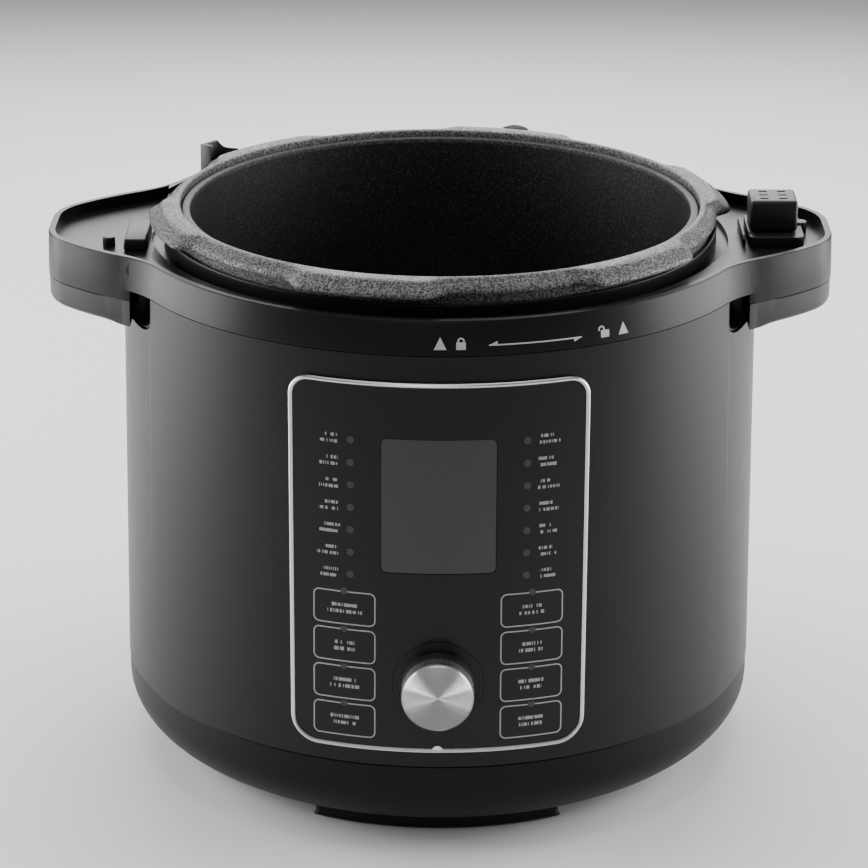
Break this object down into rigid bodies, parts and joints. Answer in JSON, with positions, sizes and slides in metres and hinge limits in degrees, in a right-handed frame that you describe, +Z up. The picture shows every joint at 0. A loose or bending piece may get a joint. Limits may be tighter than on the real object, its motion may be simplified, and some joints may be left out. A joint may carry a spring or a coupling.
{
  "type": "electric pressure cooker",
  "caption": "Electric pressure cooker without its lid: round body with two side handles, bayonet lock rim, lift-out inner pot, front control panel with a display window and a turning knob.",
  "frame": {"origin": "on the worktop, on the axis of the pot", "axes": "+Z up along the pot's axis, -Y out of the control panel, +X towards the handle with the accessory socket"},
  "size_m": [0.3336, 0.2894, 0.2444],
  "materials": {
    "black_plastic": "fine matt grain",
    "satin_black_paint": "satin",
    "gloss_black": "gloss",
    "rubber_black": "matt",
    "cast_aluminium": "cast, speckled",
    "nonstick_coating": "speckled satin coating",
    "brushed_aluminium": "brushed",
    "steel": "plain sheet",
    "board_green": "solder mask",
    "component_grey": "matt"
  },
  "bodies": {
    "cooker": {"base_cover": "black_plastic", "power_inlet": "black_plastic", "body_shell": "satin_black_paint", "heat_shield": "steel", "outer_pot": "cast_aluminium", "heating_plate": "cast_aluminium", "heater_element": "steel", "sensor_holder": "steel", "sensor_spring": "steel", "thermal_fuse": "steel", "power_board": "board_green", "power_relay": "component_grey", "power_transformer": "component_grey", "power_capacitor": "component_grey", "pressure_switch": "component_grey", "control_board": "board_green", "display_module": "component_grey", "panel_carrier": "black_plastic", "panel_overlay": "gloss_black", "panel_frame": "brushed_aluminium", "display_lens": "gloss_black", "knob_well": "black_plastic", "encoder_body": "component_grey", "top_ring": "black_plastic", "handle_cover_right": "black_plastic", "handle_cover_left": "black_plastic", "finger_pocket_right": "black_plastic", "finger_pocket_left": "black_plastic", "lid_switch_spring": "steel", "lid_switch": "component_grey", "lid_guide_block": "black_plastic", "socket_base": "black_plastic", "socket_tower": "black_plastic", "socket_flange": "black_plastic", "lid_stop_bracket": "black_plastic", "lid_rest_stud": "rubber_black", "foot_front": "black_plastic", "foot_pad_front": "rubber_black", "foot_right": "black_plastic", "foot_pad_right": "rubber_black", "foot_rear": "black_plastic", "foot_pad_rear": "rubber_black", "foot_left": "black_plastic", "foot_pad_left": "rubber_black", "base_screw_1": "steel", "base_screw_2": "steel", "base_screw_3": "steel", "base_screw_4": "steel", "handle_screw_left_front": "steel", "handle_screw_left_rear": "steel", "handle_screw_right_front": "steel", "handle_screw_right_rear": "steel"},
    "knob": {"knob_core": "black_plastic", "knob_cap": "brushed_aluminium", "encoder_shaft": "steel"},
    "inner_pot": {"inner_pot": "nonstick_coating"},
    "lid_switch_post": {"lid_switch_post": "black_plastic"},
    "sensor_cap": {"sensor_cap": "cast_aluminium"}
  },
  "joints": [
    {"name": "knob_turn", "type": "hinge", "parent": "cooker", "child": "knob", "pos_m": [0, -0.145, 0.07754], "axis": [0, -1, 0], "continuous": true},
    {"name": "pot_lift", "type": "slide", "parent": "cooker", "child": "inner_pot", "axis": [0, 0, 1], "range_m": [0, 0.182]},
    {"name": "lid_switch_press", "type": "slide", "parent": "cooker", "child": "lid_switch_post", "axis": [0, 0, -1], "range_m": [0, 0.003], "stiffness_N_per_m": 150, "springref_m": -0.002, "deforming": ["lid_switch_spring"]},
    {"name": "sensor_press", "type": "slide", "parent": "cooker", "child": "sensor_cap", "axis": [0, 0, -1], "range_m": [0, 0.003], "stiffness_N_per_m": 400, "springref_m": -0.002, "deforming": ["sensor_spring"]}
  ]
}
